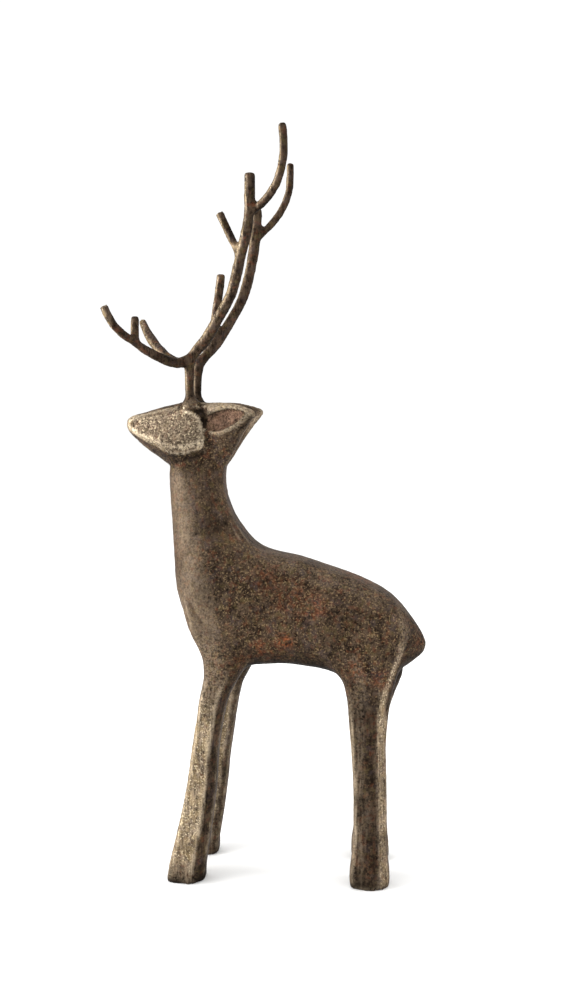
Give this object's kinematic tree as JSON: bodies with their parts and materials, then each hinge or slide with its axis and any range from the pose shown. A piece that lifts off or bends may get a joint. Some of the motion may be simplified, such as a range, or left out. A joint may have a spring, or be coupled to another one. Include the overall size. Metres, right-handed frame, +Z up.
{
  "type": "cast iron stag statue",
  "caption": "Slim standing stag in cast iron, head raised, with branching rod antlers; a decorative figure that stands on its own four feet.",
  "frame": {"origin": "middle of the footprint's bounding box, on the surface that the feet stand on", "axes": "+Z up through the antlers, -X the way the head points, +Y the stag's right side"},
  "size_m": [0.2232, 0.1264, 0.5291],
  "materials": {
    "patinated_iron": "brown-bronze patina over pitted sand-cast iron, rubbed to warm grey on the ridges, with rust patches"
  },
  "bodies": {
    "root": {"stag": "patinated_iron"}
  },
  "joints": []
}
